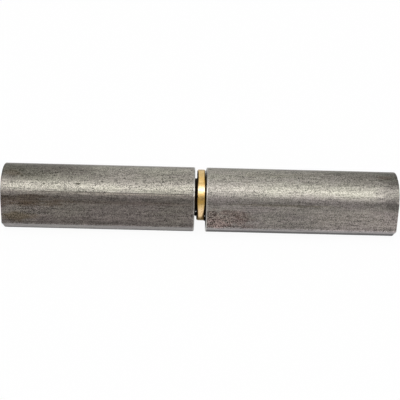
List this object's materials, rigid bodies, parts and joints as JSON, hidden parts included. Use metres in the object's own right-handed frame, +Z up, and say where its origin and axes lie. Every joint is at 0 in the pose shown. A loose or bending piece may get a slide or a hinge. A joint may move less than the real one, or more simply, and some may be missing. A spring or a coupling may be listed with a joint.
{
  "type": "weld-on barrel hinge",
  "caption": "Weld-on hinge cut from teardrop steel bar: the socket barrel turns on the fixed pin of the other barrel, over a brass thrust washer, and lifts off it.",
  "frame": {"origin": "middle of the footprint, on the surface that the hinge lies on", "axes": "+X along the pin axis, from the socket half to the pin half; +Z up; the weld lands face -Y and down"},
  "size_m": [0.1412, 0.0222, 0.02],
  "materials": {
    "drawn_steel": "bare drawn steel, dull grey with brown stains",
    "pin_steel": "bare ground steel",
    "brass": "turned brass, satin"
  },
  "bodies": {
    "pin_half": {"pin_barrel": "drawn_steel", "hinge_pin": "pin_steel"},
    "washer": {"thrust_washer": "brass"},
    "socket_half": {"socket_barrel": "drawn_steel"}
  },
  "joints": [
    {"name": "swing", "type": "hinge", "parent": "pin_half", "child": "washer", "pos_m": [0.00025, 0.00113, 0.01], "axis": [1, 0, 0], "continuous": true},
    {"name": "lift_off", "type": "slide", "parent": "washer", "child": "socket_half", "axis": [-1, 0, 0], "range_m": [-0.00078, 0.046]}
  ]
}
